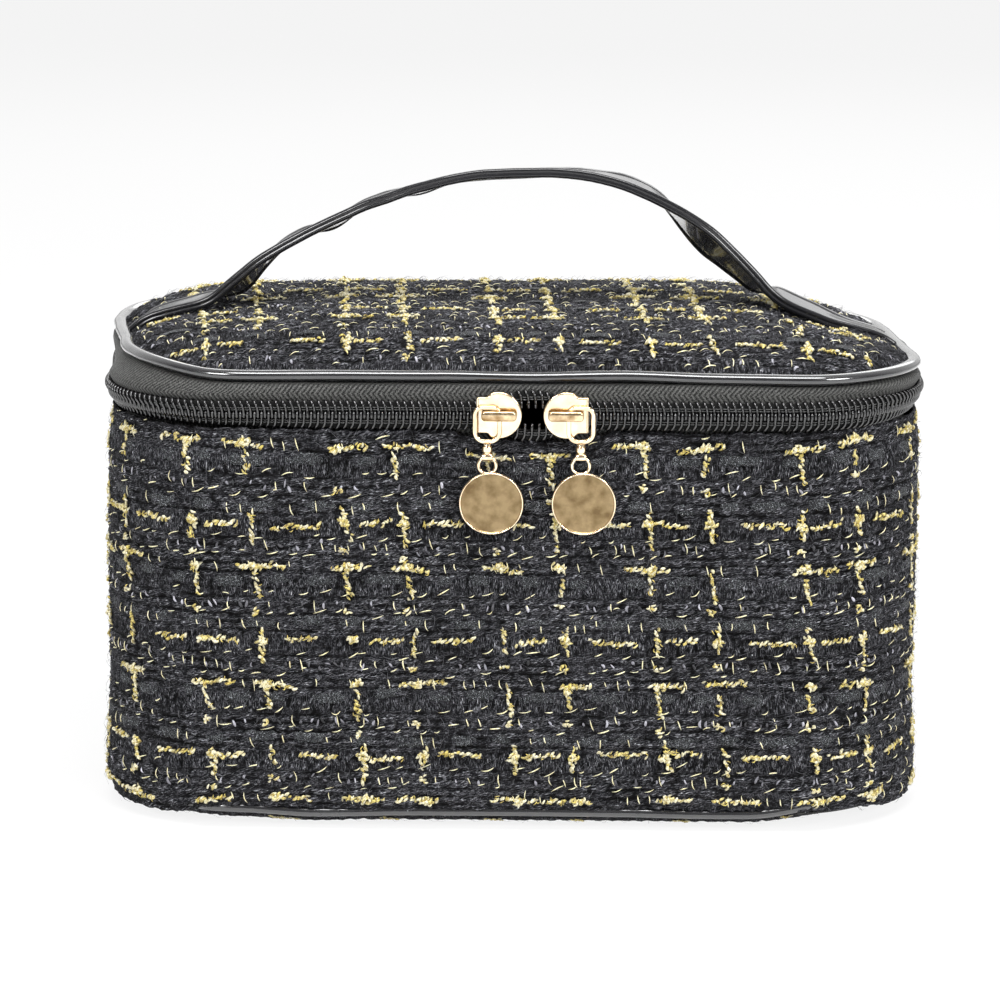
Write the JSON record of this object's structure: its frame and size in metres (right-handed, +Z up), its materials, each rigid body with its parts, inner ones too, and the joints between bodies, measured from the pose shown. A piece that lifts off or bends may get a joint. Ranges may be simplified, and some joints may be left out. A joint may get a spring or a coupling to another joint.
{
  "type": "vanity case",
  "caption": "Soft rectangular vanity case in black tweed with a zip-round hinged lid, an arched strap handle and disc zip pulls.",
  "frame": {"origin": "on the surface the case stands on, under the middle of its base panel", "axes": "+Z up, the front with the two zip sliders faces -Y, +X to the right as seen from the front"},
  "size_m": [0.2392, 0.1397, 0.1824],
  "materials": {
    "tweed": "boucle tweed in black with broken gold and white checks",
    "leathercloth": "glossy black polyurethane leathercloth",
    "zip_tape": "black woven herringbone tape",
    "zip_coil": "black nylon coil",
    "gold": "polished light gold plate",
    "gold_disc": "brushed aged gold plate with a polished rim",
    "lining": "plain black woven lining",
    "binding": "black ribbed binding tape",
    "foam": "soft foam sheet",
    "board": "grey fibre board"
  },
  "bodies": {
    "case": {"base_panel": "tweed", "base_piping": "leathercloth", "base_seam_binding": "binding", "base_board": "board", "base_lining": "lining", "front_wrap": "tweed", "back_panel": "tweed", "wall_stiffener": "foam", "wall_lining": "lining", "rim_binding": "binding", "lower_zip_tape": "zip_tape", "zip_chain_lower": "zip_coil"},
    "lid": {"upper_zip_tape": "zip_tape", "zip_chain_upper": "zip_coil", "hinge_strip": "tweed", "lid_panel": "tweed", "lid_pad": "foam", "lid_lining": "lining", "lid_piping": "leathercloth", "lid_seam_binding": "binding", "handle_tail_left": "leathercloth", "handle_tail_right": "leathercloth"},
    "handle": {"handle_root_left": "leathercloth", "handle_root_right": "leathercloth", "handle_strap": "leathercloth"},
    "slider_left": {"slider_left": "gold"},
    "slider_right": {"slider_right": "gold"},
    "pull_left": {"pull_left": "gold"},
    "pull_right": {"pull_right": "gold"},
    "disc_left": {"disc_left": "gold_disc"},
    "disc_right": {"disc_right": "gold_disc"}
  },
  "joints": [
    {"name": "lid_hinge", "type": "hinge", "parent": "case", "child": "lid", "pos_m": [0, 0.066, 0.1219], "axis": [-1, 0, 0], "range_deg": [0, 115], "deforming": ["hinge_strip", "zip_chain_upper", "zip_chain_lower"]},
    {"name": "handle_swing", "type": "hinge", "parent": "lid", "child": "handle", "pos_m": [0, 0, 0.1429], "axis": [1, 0, 0], "range_deg": [-60, 60], "stiffness_Nm_per_rad": 0.05, "deforming": ["handle_root_left", "handle_root_right"]},
    {"name": "slider_left_slide", "type": "slide", "parent": "case", "child": "slider_left", "axis": [1, 0, 0], "range_m": [-0.066, 0.0028]},
    {"name": "slider_right_slide", "type": "slide", "parent": "case", "child": "slider_right", "axis": [1, 0, 0], "range_m": [-0.0028, 0.053]},
    {"name": "pull_left_swing", "type": "hinge", "parent": "slider_left", "child": "pull_left", "pos_m": [-0.0066, -0.07, 0.1219], "axis": [0, 1, 0], "range_deg": [-12, 95]},
    {"name": "pull_right_swing", "type": "hinge", "parent": "slider_right", "child": "pull_right", "pos_m": [0.0195, -0.07, 0.1219], "axis": [0, 1, 0], "range_deg": [-95, 12]},
    {"name": "disc_left_swing", "type": "hinge", "parent": "pull_left", "child": "disc_left", "pos_m": [-0.0066, -0.07, 0.10915], "axis": [-1, 0, 0], "range_deg": [0, 110]},
    {"name": "disc_right_swing", "type": "hinge", "parent": "pull_right", "child": "disc_right", "pos_m": [0.0195, -0.07, 0.10915], "axis": [-1, 0, 0], "range_deg": [0, 110]}
  ]
}
